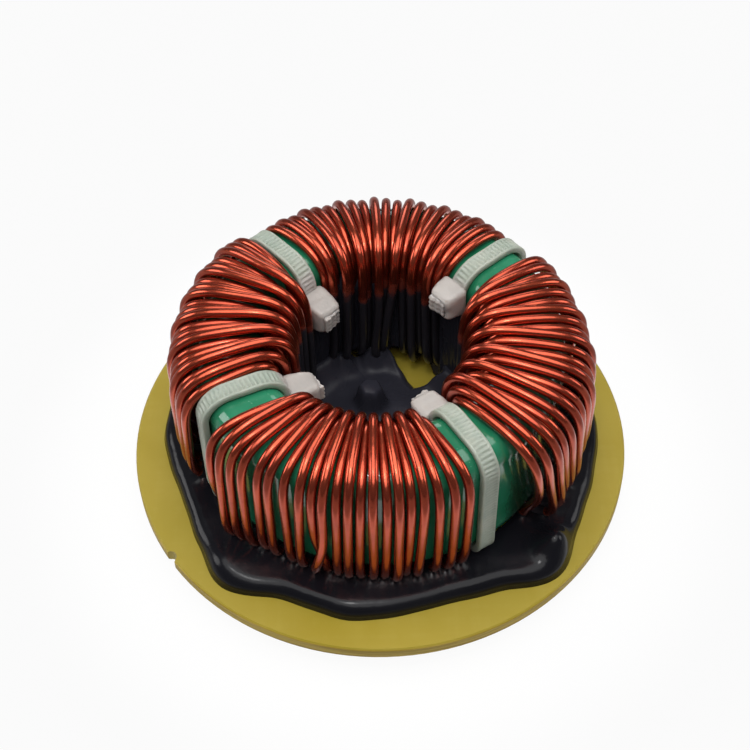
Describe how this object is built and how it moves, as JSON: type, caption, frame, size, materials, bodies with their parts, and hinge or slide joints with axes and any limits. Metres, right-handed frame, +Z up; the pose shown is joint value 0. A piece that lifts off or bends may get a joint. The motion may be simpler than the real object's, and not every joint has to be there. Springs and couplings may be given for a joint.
{
  "type": "toroidal inductor",
  "caption": "Ring-core inductor: enamelled copper windings on a green core, strapped with nylon ties and glued with black resin to a round yellow base plate with solder leads.",
  "frame": {"origin": "centre of the base plate in X and Y, and the tips of the solder leads in Z", "axes": "+Z up along the core's axis; -Y is the side that the picture shows in front"},
  "size_m": [0.07, 0.07, 0.0316],
  "materials": {
    "laminate": "satin",
    "core_coating": "gloss",
    "enamelled_copper": "gloss",
    "nylon": "satin",
    "black_glue": "gloss"
  },
  "bodies": {
    "root": {"base_plate": "laminate", "core": "core_coating", "winding_front": "enamelled_copper", "winding_right": "enamelled_copper", "winding_back": "enamelled_copper", "winding_left": "enamelled_copper", "cable_tie_front_right": "nylon", "cable_tie_back_right": "nylon", "cable_tie_back_left": "nylon", "cable_tie_front_left": "nylon", "outer_glue": "black_glue", "bore_glue": "black_glue"}
  },
  "joints": []
}
